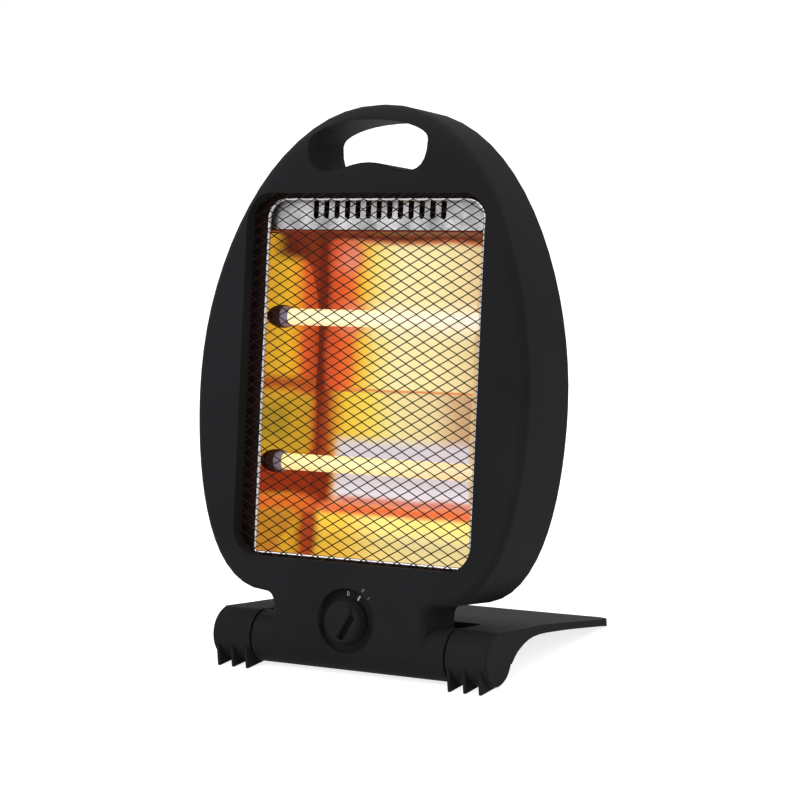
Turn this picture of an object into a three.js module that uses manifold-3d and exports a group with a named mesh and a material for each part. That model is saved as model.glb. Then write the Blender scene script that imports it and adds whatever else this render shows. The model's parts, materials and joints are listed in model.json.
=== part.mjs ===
// A two-lamp radiant heater: an egg-shaped moulded body with a carry handle, leaning back in a stand
// that its base tube turns in. Millimetres, +Z up, the front towards -Y, the base on Z = 0.
import * as THREE from 'three';
import { mergeGeometries, mergeVertices } from 'three/addons/utils/BufferGeometryUtils.js';
import loadManifold from 'manifold-3d';

// ---- Driving dimensions: overall ----
const bodyHalfWidth = 123.4;
const bodyApex = 349;             // top of the body above the hinge axis, along the leaning body
const widestHeight = 160;
const bodyFoot = 30.5;            // underside of the egg above the hinge axis
const bodyDepth = 61;
const lean = THREE.MathUtils.degToRad(11);
const wall = 3;
const seat = 0.3;                 // clearance left where two pieces touch
const runningFit = 0.08;          // radial clearance round a pin or shaft

// ---- Driving dimensions: neck, base tube and dial ----
const neckHalfWidth = 57.5;
const neckDepth = 42;
const neckFillet = 7;
const tubeRadius = 17;
const tubeHalfLength = 72;
const tubeWall = 3;
const tubeEndWall = 5;
const faceStep = 1.5;             // how far the front face stands ahead of the base tube
const dialHeight = 16.5;
const dialRadius = 21;
const dialDepth = 5;
const knobRadius = 14.2;
const knobHeight = 11.4;
const shaftRadius = 3;

// ---- Driving dimensions: front face ----
const edgeRadius = 6;
const crownEdgeRadius = 22;       // the front edge softens towards the handle
const crownEdgeStart = 200;
const rearEdgeRadius = 4;
const openingHalfWidth = 89;
const openingBottom = 53;
const openingTop = 290.5;
const openingCorner = 18;
const collarWall = 2.2;
const collarDepth = 9.5;
const handleHalfWidth = 43.5;
const handleTop = 337;
const handleLobe = 304.5;
const handleHump = 310;
const handleFlare = 0.22;         // the grip slot widens towards the back
const handleLift = 4;             // the slot's roof rises this much towards the back
const handleRim = 4;
const cavityTop = 298;
const eggSteps = 18;              // facets along a quarter of the egg's outline

// ---- Driving dimensions: grille and reflector ----
const meshThickness = 0.8;
const meshColumns = 6;
const meshRows = 13;
const strandWidth = 1.4;
const frameStandOff = 2.3;        // the guard's frame stands outside the opening's edge
const frameWall = 1.2;
const frameDepth = 8.8;
const sheet = 0.8;
const reflectorDepth = 30;
const reflectorBackHalfWidth = 57;
const reflectorSill = 1.75;       // lower edge of the reflector above the opening's
const seamRise = 2.1;             // the seam of the troughs above the middle of the reflector
const seamDepth = 27;             // behind the reflector's front plane
const ventPanelHeight = 24;
const ventPanelLap = 2;           // how far the panel passes behind the opening's upper edge
const ventSlots = 13;
const ventSlotPitch = 8;
const ventSlotWidth = 4;
const shieldGap = 3.2;

// ---- Driving dimensions: lamps ----
const lampSpread = 96;            // between the two lamp axes
const lampSetback = 11;           // lamp axis behind the reflector's front plane
const lampRadius = 5.5;
const lampWall = 1.2;
const capLength = 14;
const capWidth = 14;
const capSocket = 4.5;
const capWaist = 3;               // width of the groove round a cap
const capClearance = 0.8;         // round a cap in its hole in the end plate
const coilRadius = 2.8;
const coilWire = 0.6;
const coilTurns = 12;

// ---- Driving dimensions: stand ----
const hubRadius = 17.3;
const hubHalfSpan = 103;
const hubGap = 1.6;               // visible ring between the base tube and each hub
const toeDrop = 1;
const toeThickness = 1.8;
const toePitch = 11.1;
const standReach = 163;
const standCorner = 14;
const standBow = 5;
const standThroat = 34;           // front edge of the stand plate between the hubs
const tipThickness = 3.2;
const boltRadius = 4;
const boltHead = 7;
const boltHeadLength = 4;

// ---- Driving dimensions: rear cover and what it carries ----
const coverThickness = 2.5;
const postRadius = 4.5;
const screwRadius = 1.4;
const screwLength = 12;
const screwHeadRadius = 3;
const screwHeadLength = 1.6;
const louvreCount = 11;
const louvrePitch = 12;
const louvreWidth = 3;
const louvreHeight = 16;

// ---- Places that follow from the driving dimensions ----
const frontFace = -(tubeRadius + faceStep);
const rearFace = frontFace + bodyDepth;
const neckRear = frontFace + neckDepth;
const collarBack = frontFace + collarDepth;
const meshFront = collarBack + seat;
const frameFront = meshFront + meshThickness + seat;
const reflectorFront = frameFront + frameDepth + seat;
const reflectorBack = reflectorFront + reflectorDepth;
const shieldBack = reflectorBack + sheet + shieldGap;
const coverFront = rearFace - coverThickness - 0.5;
const reflectorLow = openingBottom + reflectorSill;
const reflectorTop = openingTop - ventPanelHeight;
const seamHeight = (reflectorLow + reflectorTop) / 2 + seamRise;
const lampAxisY = reflectorFront + lampSetback;
const lampHeights = { upper: seamHeight + lampSpread / 2, lower: seamHeight - lampSpread / 2 };
const reflectorHalfWidth = openingHalfWidth;
const hubInner = tubeHalfLength + hubGap;
const floorLevel = -(hubRadius + toeDrop);

// ---- Finishes ----
const finish = (color, roughness, metalness) =>
  new THREE.MeshStandardMaterial({ color, roughness, metalness });
const blackPlastic = () => finish(0x26262a, 0.55, 0);
const softBlack = () => finish(0x1b1b1d, 0.7, 0);
const brightSteel = () => finish(0xd9d9d6, 0.22, 1);
const plainSteel = () => finish(0x9a9c9e, 0.4, 1);
const blackWire = () => finish(0x1e1c1b, 0.5, 0.6);
const quartz = () => finish(0xffe9b0, 0.25, 0);
const ceramic = () => finish(0xcfc9c2, 0.8, 0);
const coilAlloy = () => finish(0xb5651d, 0.5, 0.8);
const switchPlastic = () => finish(0xe6e2d6, 0.6, 0);
const brassMetal = () => finish(0xb08d3c, 0.35, 1);

// ---- Solids: closed surfaces joined and cut ----
const manifold = await loadManifold();
manifold.setup();

function solid(geometry) {
  const bare = geometry.clone();
  bare.deleteAttribute('normal');
  bare.deleteAttribute('uv');
  const merged = mergeVertices(bare, 1e-4);
  return new manifold.Manifold(new manifold.Mesh({
    numProp: 3,
    vertProperties: new Float32Array(merged.attributes.position.array),
    triVerts: new Uint32Array(merged.index.array),
  }));
}

function surface(body) {
  const mesh = body.getMesh();
  const geometry = new THREE.BufferGeometry();
  geometry.setAttribute('position', new THREE.BufferAttribute(new Float32Array(mesh.vertProperties), 3));
  geometry.setIndex(new THREE.BufferAttribute(new Uint32Array(mesh.triVerts), 1));
  const faceted = geometry.toNonIndexed();
  faceted.computeVertexNormals();
  return faceted;
}

const joined = (bodies) => bodies.reduce((all, body) => all.add(body));
const carved = (body, tools) => tools.reduce((rest, tool) => rest.subtract(tool), body);

// From and to across the object, in rising order; side is -1 on the left and 1 on the right.
const span = (side, near, far) => (side > 0 ? [near, far] : [-far, -near]);

// A front-view shape (x across, y up) pushed through from one depth to another.
function slab(shape, front, back, curveSegments = 8) {
  const depth = back - front;
  const geometry = new THREE.ExtrudeGeometry(shape, { depth, bevelEnabled: false, curveSegments });
  geometry.rotateX(Math.PI / 2);
  geometry.translate(0, back, 0);
  return solid(geometry);
}

// A side-view shape (x back, y up) pushed across from one side to the other.
function sideSlab(shape, left, right, curveSegments = 8) {
  const depth = right - left;
  const geometry = new THREE.ExtrudeGeometry(shape, { depth, bevelEnabled: false, curveSegments });
  geometry.applyMatrix4(new THREE.Matrix4().set(0, 0, 1, left, 1, 0, 0, 0, 0, 1, 0, 0, 0, 0, 0, 1));
  return solid(geometry);
}

// A plan-view shape (x across, y back) raised from one height to another.
function planSlab(shape, low, high, curveSegments = 8) {
  const depth = high - low;
  const geometry = new THREE.ExtrudeGeometry(shape, { depth, bevelEnabled: false, curveSegments });
  geometry.translate(0, 0, low);
  return solid(geometry);
}

function block(x0, x1, y0, y1, z0, z1) {
  const geometry = new THREE.BoxGeometry(x1 - x0, y1 - y0, z1 - z0);
  geometry.translate((x0 + x1) / 2, (y0 + y1) / 2, (z0 + z1) / 2);
  return solid(geometry);
}

// A turned piece: profile points [radius, along], starting and ending on the axis or closing on itself.
function turned(profile, segments = 32) {
  const points = profile.map(([r, h]) => new THREE.Vector2(r, h));
  return new THREE.LatheGeometry(points, segments);
}
const rod = (radius, from, to) => [[0, from], [radius, from], [radius, to], [0, to]];

// A surface whose enclosed volume comes out negative is inside out; its triangles are turned round.
function outward(geometry) {
  const bare = geometry.index ? geometry.toNonIndexed() : geometry.clone();
  const p = bare.attributes.position;
  const [a, b, c] = [new THREE.Vector3(), new THREE.Vector3(), new THREE.Vector3()];
  let volume = 0;
  for (let i = 0; i < p.count; i += 3) {
    a.fromBufferAttribute(p, i);
    b.fromBufferAttribute(p, i + 1);
    c.fromBufferAttribute(p, i + 2);
    volume += a.dot(b.cross(c));
  }
  if (volume < 0) {
    for (let i = 0; i < p.count; i += 3) {
      a.fromBufferAttribute(p, i + 1);
      c.fromBufferAttribute(p, i + 2);
      p.setXYZ(i + 1, c.x, c.y, c.z);
      p.setXYZ(i + 2, a.x, a.y, a.z);
    }
  }
  return bare;
}
const turnedX = (profile, x, y, z, segments) =>
  solid(outward(turned(profile, segments).rotateZ(-Math.PI / 2).translate(x, y, z)));
const turnedY = (profile, x, y, z, segments) =>
  solid(outward(turned(profile, segments).translate(x, y, z)));

// Rings of the same number of points, joined in order and closed at both ends.
function lofted(rings) {
  const count = rings[0].length;
  const positions = rings.flat().flatMap(({ x, y, z }) => [x, y, z]);
  const index = [];
  for (let r = 0; r < rings.length - 1; r++) {
    for (let i = 0; i < count; i++) {
      const [a, b] = [r * count + i, r * count + (i + 1) % count];
      index.push(a, b, b + count, a, b + count, a + count);
    }
  }
  // Triangles of a cap, wound the way its ring runs.
  const cap = (ring) => {
    const contour = ring.map(({ x, z }) => new THREE.Vector2(x, z));
    const clockwise = THREE.ShapeUtils.area(contour) < 0;
    const faces = THREE.ShapeUtils.triangulateShape(contour, []);
    return clockwise ? faces.map(([a, b, c]) => [a, c, b]) : faces;
  };
  const last = (rings.length - 1) * count;
  cap(rings[0]).forEach(([a, b, c]) => index.push(a, c, b));
  cap(rings.at(-1)).forEach(([a, b, c]) => index.push(last + a, last + b, last + c));
  const geometry = new THREE.BufferGeometry();
  geometry.setAttribute('position', new THREE.Float32BufferAttribute(positions, 3));
  geometry.setIndex(index);
  return solid(outward(geometry));
}

// ---- Outlines of the body, seen from the front ----
const at = (x, y) => new THREE.Vector2(x, y);

// Right half of the egg, from the apex down to where the neck's fillet takes over.
function eggRight(steps) {
  const crown = new THREE.CubicBezierCurve(
    at(0, bodyApex), at(0.677 * bodyHalfWidth, bodyApex),
    at(bodyHalfWidth, widestHeight + 0.41 * (bodyApex - widestHeight)), at(bodyHalfWidth, widestHeight));
  const foot = at(neckHalfWidth + neckFillet, bodyFoot);
  const hips = new THREE.CubicBezierCurve(
    at(bodyHalfWidth, widestHeight), at(bodyHalfWidth, widestHeight - 0.12 * (widestHeight - bodyFoot)),
    at(bodyHalfWidth, bodyFoot), foot);
  return [...crown.getPoints(steps), ...hips.getPoints(steps).slice(1)];
}

// A closed outline with the outward normal at each point; normals are left out along the foot.
function eggOutline(steps = eggSteps) {
  const right = eggRight(steps);
  const left = right.slice(1).reverse().map((p) => at(-p.x, p.y));
  const points = [...right, ...left];
  const n = points.length;
  return points.map((p, i) => {
    const along = points[(i + 1) % n].clone().sub(points[(i - 1 + n) % n]).normalize();
    const onFoot = i === right.length - 1 || i === right.length;
    const normal = onFoot ? at(0, -1) : at(-along.y, along.x);
    return { p, normal };
  });
}

function roundedRect(halfWidth, low, high, corner, x = 0) {
  const shape = new THREE.Shape();
  shape.absarc(x + halfWidth - corner, low + corner, corner, -Math.PI / 2, 0);
  shape.absarc(x + halfWidth - corner, high - corner, corner, 0, Math.PI / 2);
  shape.absarc(x - halfWidth + corner, high - corner, corner, Math.PI / 2, Math.PI);
  shape.absarc(x - halfWidth + corner, low + corner, corner, Math.PI, Math.PI * 1.5);
  return shape;
}

// Ring of an outline at one depth, drawn in along its normals.
const ringAt = (outline, inset, y) =>
  outline.map(({ p, normal }, i) => {
    const by = typeof inset === 'function' ? inset(p, i) : inset;
    return new THREE.Vector3(p.x - normal.x * by, typeof y === 'function' ? y(p) : y, p.y - normal.y * by);
  });

// A moulded body: outline swept from front to back, its front edge rounded by a radius that may vary.
function moulded(outline, front, back, frontRadius, backRadius, arcSteps = 5) {
  const rings = [];
  for (let i = arcSteps; i >= 0; i--) {
    const a = i / arcSteps * Math.PI / 2;
    const inset = (p) => frontRadius(p) * (1 - Math.cos(a));
    rings.push(ringAt(outline, inset, (p) => front + frontRadius(p) * (1 - Math.sin(a))));
  }
  for (const t of [0, 0.5, 1]) {
    const a = t * Math.PI / 2;
    rings.push(ringAt(outline, backRadius * (1 - Math.cos(a)), back - backRadius * (1 - Math.sin(a))));
  }
  return lofted(rings);
}

function frontEdge(p) {
  const rise = Math.max(0, (p.y - crownEdgeStart) / (bodyApex - crownEdgeStart));
  return edgeRadius + (crownEdgeRadius - edgeRadius) * rise ** 1.6;
}

// The room inside the egg, one wall in from its skin, cut off level under the grip slot.
function interior(clearance) {
  const inset = wall + clearance;
  const outline = eggOutline(eggSteps / 2)
    .map(({ p, normal }) => ({ p: p.clone().addScaledVector(normal, -inset), normal }));
  const whole = moulded(outline, frontFace + inset, rearFace + 6, (p) => frontEdge(p) - inset, 1, 2);
  const room = block(-bodyHalfWidth, bodyHalfWidth, frontFace, rearFace + 4, 0, cavityTop - clearance);
  return whole.intersect(room);
}
const insideShell = (body) => body.intersect(interior(seat));

// ---- Front shell ----
// The neck: straight sides with a fillet up into the egg; its head is buried in the egg.
function neckOutline() {
  const buried = 14;
  const steps = 5;
  const right = [{ p: at(neckHalfWidth + neckFillet, bodyFoot + buried), normal: at(0, 0) }];
  const centre = at(neckHalfWidth + neckFillet, bodyFoot - neckFillet);
  for (let i = 0; i <= steps; i++) {
    const a = Math.PI / 2 * (1 + i / steps);
    const out = at(Math.cos(a), Math.sin(a));
    right.push({ p: centre.clone().addScaledVector(out, neckFillet), normal: out.clone().negate() });
  }
  right.push({ p: at(neckHalfWidth, 0), normal: at(1, 0) });
  const mirrored = ({ p, normal }) => ({ p: at(-p.x, p.y), normal: at(-normal.x, normal.y) });
  return [...right, ...right.map(mirrored).reverse()];
}

// The grip slot: an arched top over a humped floor with round ends.
function handleOutline() {
  const half = handleHalfWidth;
  const lobeRadius = 5;
  const shoulder = handleTop - 0.22 * (handleTop - handleLobe);
  const upperEnd = at(half, (handleTop + handleLobe) / 2 + 3);
  const arch = new THREE.CubicBezierCurve(
    at(0, handleTop), at(0.62 * half, handleTop), at(half, shoulder), upperEnd);
  const lobe = new THREE.CubicBezierCurve(
    upperEnd, at(half, handleLobe + lobeRadius), at(0.86 * half, handleLobe), at(0.66 * half, handleLobe));
  const hump = new THREE.CubicBezierCurve(
    at(0.66 * half, handleLobe), at(0.45 * half, handleLobe), at(0.3 * half, handleHump), at(0, handleHump));
  const right = [...arch.getPoints(9), ...lobe.getPoints(6).slice(1), ...hump.getPoints(6).slice(1)];
  const left = right.slice(1, -1).reverse().map((p) => at(-p.x, p.y));
  const points = [...right, ...left];
  const n = points.length;
  return points.map((p, i) => {
    const along = points[(i + 1) % n].clone().sub(points[(i - 1 + n) % n]).normalize();
    return { p, normal: at(-along.y, along.x) };
  });
}

function handleCutter() {
  const outline = handleOutline();
  const flared = (y) => {
    const t = (y - frontFace) / bodyDepth;
    const lift = (p) => handleLift * t * Math.max(0, (p.y - handleHump) / (handleTop - handleHump));
    return outline.map(({ p, normal }) => ({ p: at(p.x * (1 + handleFlare * t), p.y + lift(p)), normal }));
  };
  const rimRing = (t, y) => ringAt(flared(y), -handleRim * (1 - Math.cos(t * Math.PI / 2)), y);
  const rise = (t) => handleRim * (1 - Math.sin(t * Math.PI / 2));
  const clear = 4;
  return lofted([
    ringAt(flared(frontFace), -handleRim - 0.5, frontFace - clear),
    ...[1, 0.75, 0.5, 0.25, 0].map((t) => rimRing(t, frontFace + rise(t))),
    ...[0, 0.5, 1].map((t) => rimRing(t, rearFace - rise(t))),
    ringAt(flared(rearFace), -handleRim - 0.5, rearFace + clear),
  ]);
}

// Screw posts, beside the opening's upper half, at the widest height and in the hips.
const lowPost = openingHalfWidth - 29;
const postPlaces = [
  [openingHalfWidth + 11, openingTop - 45.5],
  [openingHalfWidth + 18, widestHeight - 10],
  [lowPost, bodyFoot + wall + postRadius + 2],
].flatMap(([x, z]) => [[x, z], [-x, z]]);

function frontShell() {
  const egg = moulded(eggOutline(), frontFace, rearFace, frontEdge, rearEdgeRadius);
  const neck = moulded(neckOutline(), frontFace, neckRear, () => edgeRadius, 2);
  const tube = turnedX(rod(tubeRadius, -tubeHalfLength, tubeHalfLength), 0, 0, 0, 40);
  // The face runs down from the egg's foot to meet the base tube flush.
  const reach = neckHalfWidth + neckFillet + 1;
  const runOut = sideSlab(new THREE.Shape([at(frontFace - 1, bodyFoot), at(frontFace, bodyFoot),
    at(-tubeRadius, 0), at(-tubeRadius, -1), at(frontFace - 1, -1)]), -reach, reach);
  const skin = joined([egg, neck, tube]).subtract(runOut);

  // The neck's pocket stands behind the wall that carries the dial.
  const dialWall = 9;
  const pocketHalf = neckHalfWidth - edgeRadius - wall;
  const neckPocket = block(-pocketHalf, pocketHalf, frontFace + dialWall, neckRear - wall,
    wall, bodyFoot + wall + 4);
  const boreEnd = tubeHalfLength - tubeEndWall;
  const bore = turnedX(rod(tubeRadius - tubeWall, -boreEnd, boreEnd), 0, 0, 0, 24);
  const pastEnd = tubeHalfLength + 1;
  const axleHole = turnedX(rod(boltRadius + runningFit, -pastEnd, pastEnd), 0, 0, 0, 24);
  const hollow = carved(skin, [interior(0), neckPocket, bore, axleHole]);

  const collarShape = roundedRect(openingHalfWidth + collarWall, openingBottom - collarWall,
    openingTop + collarWall, openingCorner + collarWall);
  const collar = slab(collarShape, frontFace + 1, collarBack).intersect(egg);
  const posts = postPlaces.map(([x, z]) =>
    turnedY(rod(postRadius, frontFace + 1, coverFront - seat), x, 0, z, 12));
  const dishRod = rod(dialRadius + wall, frontFace + 1, frontFace + dialWall);
  const dishWall = turnedY(dishRod, 0, 0, dialHeight, 24).intersect(skin);
  const bossed = joined([hollow, collar, dishWall, ...posts]);

  const openingShape = roundedRect(openingHalfWidth, openingBottom, openingTop, openingCorner);
  const opening = slab(openingShape, frontFace - 1, collarBack + 1);
  const pilots = postPlaces.map(([x, z]) =>
    turnedY(rod(screwRadius + seat, coverFront - screwLength, rearFace), x, 0, z, 8));
  const dish = turnedY(rod(dialRadius, frontFace - 2, frontFace + dialDepth), 0, 0, dialHeight, 40);
  const shaftEnd = frontFace + dialWall + wall;
  const shaftHole = turnedY(rod(shaftRadius + runningFit, frontFace - 2, shaftEnd), 0, 0, dialHeight, 24);
  return carved(bossed, [opening, handleCutter(), dish, shaftHole, ...pilots]);
}

// ---- Rear cover and its screws ----
const coverBack = coverFront + coverThickness;
function rearCover() {
  const plate = insideShell(block(-bodyHalfWidth, bodyHalfWidth, coverFront, coverBack, 0, bodyApex));
  const through = (radius, x, z, segments, from = coverFront - 1) =>
    turnedY(rod(radius, from, coverBack + 1), x, 0, z, segments);
  const tools = [through(grommetRadius + seat, ...grommetPlace, 16)];
  for (const row of [openingTop - 34, openingBottom + 24]) {
    for (let i = 0; i < louvreCount; i++) {
      const x = (i - (louvreCount - 1) / 2) * louvrePitch;
      const [low, high] = [row - louvreHeight / 2, row + louvreHeight / 2];
      const slot = roundedRect(louvreWidth / 2, low, high, louvreWidth / 2 - 0.1, x);
      tools.push(slab(slot, coverFront - 1, coverBack + 1, 1));
    }
  }
  for (const [x, z] of postPlaces) {
    tools.push(through(screwRadius + seat, x, z, 10));
    tools.push(through(screwHeadRadius + seat, x, z, 12, coverBack - screwHeadLength));
  }
  return carved(plate, tools);
}

// Pan-head screw sunk in the cover, its point chamfered.
function coverScrew(x, z) {
  const seatFace = coverBack - screwHeadLength + seat;
  const top = coverBack;
  const point = seatFace - screwLength;
  const profile = [[0, point], [screwRadius, point + 1.5], [screwRadius, seatFace],
    [screwHeadRadius, seatFace], [screwHeadRadius, seatFace + 0.6], [screwHeadRadius - 1, top], [0, top]];
  return turnedY(profile, x, 0, z, 10);
}

// The row on the cover between the low posts: bushing, terminal block and tip-over switch. The gaps
// beside and between them share the room that is left.
const grommetRadius = 6;
const grommetLip = grommetRadius + 2;
const blockHalf = 15;
const earHalf = 11.5;
const rowGaps = [13.5, 7, 7.5, 14];
const rowRoom = 2 * (lowPost - postRadius - grommetLip - blockHalf - earHalf);
const rowShare = rowRoom / rowGaps.reduce((sum, gap) => sum + gap);
const grommetPlace = [-lowPost + postRadius + rowShare * rowGaps[0] + grommetLip, bodyFoot + 14];
const blockPlace = grommetPlace[0] + grommetLip + rowShare * rowGaps[1] + blockHalf;
const tipSwitchPlace = blockPlace + blockHalf + rowShare * rowGaps[2] + earHalf;

// Bushing where the mains lead enters; a groove grips the cover's edge.
function cordGrommet() {
  const [bore, lip] = [3.6, grommetLip];
  const [inside, outside] = [coverFront - 3, coverBack + 2.5];
  const [grooveFront, grooveBack] = [coverFront - seat, coverBack + seat];
  const profile = [[bore, inside], [lip, inside], [lip, grooveFront], [grommetRadius, grooveFront],
    [grommetRadius, grooveBack], [lip, grooveBack], [lip - 1, outside], [bore, outside], [bore, inside]];
  return turnedY(profile, grommetPlace[0], 0, grommetPlace[1], 16);
}

// ---- Grille ----
// Diamond gaps of the expanded sheet, those on the border cut off along it.
function diamondGaps(halfWidth, low, high) {
  const [a, b] = [halfWidth / meshColumns, (high - low) / meshRows / 2];
  const reach = a * b / Math.hypot(a, b);
  const scale = (reach - strandWidth / 2) / reach;
  const clip = (points, inside, cut) => points.flatMap((p, i) => {
    const q = points[(i + 1) % points.length];
    if (inside(p) && inside(q)) return [q];
    if (inside(p)) return [cut(p, q)];
    return inside(q) ? [cut(p, q), q] : [];
  });
  const cutAt = (axis, value) => (p, q) => p.clone().lerp(q, (value - p[axis]) / (q[axis] - p[axis]));
  const edge = 0.6;
  const [x0, x1, y0, y1] = [-halfWidth + edge, halfWidth - edge, low + edge, high - edge];
  const gaps = [];
  for (let i = 0; i <= 2 * meshColumns; i++) {
    for (let j = i % 2; j <= 2 * meshRows; j += 2) {
      const [cx, cy] = [-halfWidth + i * a, low + j * b];
      const [dx, dy] = [a * scale, b * scale];
      let gap = [at(cx + dx, cy), at(cx, cy + dy), at(cx - dx, cy), at(cx, cy - dy)];
      gap = clip(gap, (p) => p.x >= x0, cutAt('x', x0));
      gap = clip(gap, (p) => p.x <= x1, cutAt('x', x1));
      gap = clip(gap, (p) => p.y >= y0, cutAt('y', y0));
      gap = clip(gap, (p) => p.y <= y1, cutAt('y', y1));
      if (gap.length > 2) gaps.push(gap);
    }
  }
  return gaps;
}

function grilleMesh() {
  const border = 2.6;
  const shape = roundedRect(openingHalfWidth + border, openingBottom - border, openingTop + border,
    openingCorner + border);
  const back = meshFront + meshThickness;
  const sheetBody = insideShell(slab(shape, meshFront, back, 4));
  const gaps = diamondGaps(openingHalfWidth, openingBottom, openingTop).map((gap) =>
    new THREE.ExtrudeGeometry(new THREE.Shape(gap), { depth: meshThickness + 2, bevelEnabled: false }));
  const tools = mergeGeometries(gaps).rotateX(Math.PI / 2).translate(0, back + 1, 0);
  return sheetBody.subtract(solid(tools));
}

// Sheet-metal frame round the opening, between the guard and the reflector.
function grilleFrame() {
  const edge = (out) => roundedRect(openingHalfWidth + out, openingBottom - out, openingTop + out,
    openingCorner + out);
  const ring = edge(frameStandOff + frameWall);
  ring.holes = [edge(frameStandOff)];
  return insideShell(slab(ring, frameFront, reflectorFront - seat, 5));
}

// ---- Reflector ----
// The upper trough keeps to the back almost to its edge; the lower one is rounder and ends in a lip.
// belly and shoulder are the curve's two pulls: [depth behind the front plane, share of the height].
const [upperTrough, lowerTrough] = [reflectorTop - seamHeight, seamHeight - reflectorLow];
const troughs = {
  upper: { direction: 1, height: upperTrough, belly: [29, 0.45], shoulder: [28.5, 1.02], lip: 0 },
  lower: { direction: -1, height: lowerTrough, belly: [31, 0.34], shoulder: [30, 0.93], lip: 2 },
};

// Half section of one trough, seen from the side: shallow at the seam, curling forward to the other edge.
function troughProfile({ height, belly, shoulder, lip }) {
  const pull = ([depth, share]) => at(reflectorFront + depth, share * height);
  const curl = new THREE.CubicBezierCurve(
    at(reflectorFront + seamDepth, 0), pull(belly), pull(shoulder), at(reflectorFront, height));
  const inner = curl.getPoints(14);
  const outer = inner.map((p, i) => {
    const q = inner[Math.min(i + 1, inner.length - 1)].clone().sub(inner[Math.max(i - 1, 0)]).normalize();
    return at(p.x + q.y * sheet, p.y - q.x * sheet);
  }).reverse();
  const flangeBack = reflectorFront + sheet;
  const flange = lip > 0
    ? [at(reflectorFront, height + lip), at(flangeBack, height + lip), at(flangeBack, height + sheet)]
    : [];
  return [...inner, ...flange, ...outer.slice(flange.length ? 1 : 0)];
}

// What lies between the two slanted end plates.
function betweenEnds(inset) {
  const slope = (reflectorHalfWidth - reflectorBackHalfWidth) / reflectorDepth;
  const [front, back] = [reflectorFront - 1, reflectorBack + sheet + 2];
  const halfAt = (y) => reflectorHalfWidth - slope * (y - reflectorFront) - inset;
  const shape = new THREE.Shape([
    at(-halfAt(front), front), at(halfAt(front), front), at(halfAt(back), back), at(-halfAt(back), back)]);
  return planSlab(shape, openingBottom - 10, openingTop + 20);
}

function trough(level) {
  const { direction } = troughs[level];
  const rise = (p) => seamHeight + direction * (p.y + seat / 2);
  const profile = troughProfile(troughs[level]).map((p) => at(p.x, rise(p)));
  if (direction < 0) profile.reverse();
  const sheetBody = sideSlab(new THREE.Shape(profile), -reflectorHalfWidth, reflectorHalfWidth);
  return sheetBody.intersect(betweenEnds(seat));
}

function ventPanel() {
  const low = reflectorTop + sheet + 2 * seat;
  const high = openingTop + ventPanelLap;
  const shape = roundedRect(reflectorHalfWidth - seat, low, high, 0.5);
  const bottom = low + 7;
  for (let i = 0; i < ventSlots; i++) {
    const x = (i - (ventSlots - 1) / 2) * ventSlotPitch;
    const slot = new THREE.Path();
    slot.moveTo(x + ventSlotWidth / 2, high - 3);
    slot.lineTo(x - ventSlotWidth / 2, high - 3);
    slot.lineTo(x - ventSlotWidth / 2, bottom + ventSlotWidth / 2);
    slot.absarc(x, bottom + ventSlotWidth / 2, ventSlotWidth / 2, Math.PI, 2 * Math.PI);
    slot.closePath();
    shape.holes.push(slot);
  }
  return insideShell(slab(shape, reflectorFront, reflectorFront + sheet, 3));
}

// Slanted end plate with a foot flange; round holes let the lamp caps through. side is -1 left, 1 right.
function reflectorEnd(side) {
  const slope = (reflectorHalfWidth - reflectorBackHalfWidth) / reflectorDepth;
  const [front, flangeBack, back] = [reflectorFront, reflectorFront + sheet, reflectorBack + sheet];
  const inner = (y) => reflectorHalfWidth - slope * (y - reflectorFront);
  const across = sheet * Math.hypot(1, slope);      // the sheet's thickness measured across
  const flange = openingHalfWidth + frameStandOff + 0.7;
  const shape = new THREE.Shape([
    at(inner(front), front), at(flange, front), at(flange, flangeBack),
    at(inner(flangeBack) + across, flangeBack), at(inner(back) + across, back), at(inner(back), back),
  ].map((p) => at(p.x * side, p.y)));
  const plate = insideShell(planSlab(shape, reflectorLow - 2, reflectorTop - 1));
  const [x0, x1] = span(side, reflectorBackHalfWidth - 4, reflectorHalfWidth + 1);
  const holes = Object.values(lampHeights).map((z) =>
    turnedX(rod(capWidth / 2 + capClearance, x0, x1), 0, lampAxisY, z, 24));
  return carved(plate, holes);
}

// Folded steel tray round the back of the reflector.
function heatShield() {
  const [low, high] = [reflectorLow + 8, reflectorTop - 8];
  const half = openingHalfWidth + 1.2;
  const front = reflectorFront + sheet + seat;
  const shape = new THREE.Shape([
    at(-half - sheet, front), at(-half, front), at(-half, shieldBack - sheet), at(half, shieldBack - sheet),
    at(half, front), at(half + sheet, front), at(half + sheet, shieldBack), at(-half - sheet, shieldBack),
  ]);
  return insideShell(planSlab(shape, low, high));
}

// ---- Lamps ----
const capOuter = openingHalfWidth + 1.2 - seat - sheet - seat;
const capInner = capOuter - capLength;
const lampHalfLength = capInner + capSocket - seat;

function quartzTube(z) {
  const [bore, end] = [lampRadius - lampWall, lampHalfLength];
  return turnedX([[bore, -end], [lampRadius, -end], [lampRadius, end], [bore, end], [bore, -end]],
    0, lampAxisY, z, 24);
}

// Turned ceramic cap with a rounded nose, a groove round its waist and a socket for the tube's end.
function lampCap(side, z) {
  const [radius, waist, socket] = [capWidth / 2, capWidth / 2 - 1.2, lampRadius + seat];
  const grooveStart = capInner + 7;
  const grooveEnd = grooveStart + capWaist;
  const floor = capInner + capSocket;
  const profile = [[socket, capInner], [radius - 1.2, capInner], [radius, capInner + 1.6],
    [radius, grooveStart], [waist, grooveStart], [waist, grooveEnd], [radius, grooveEnd],
    [radius, capOuter], [0, capOuter], [0, floor], [socket, floor], [socket, capInner]];
  return turnedX(profile.map(([r, h]) => [r, side * h]), 0, lampAxisY, z, 16);
}

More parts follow.
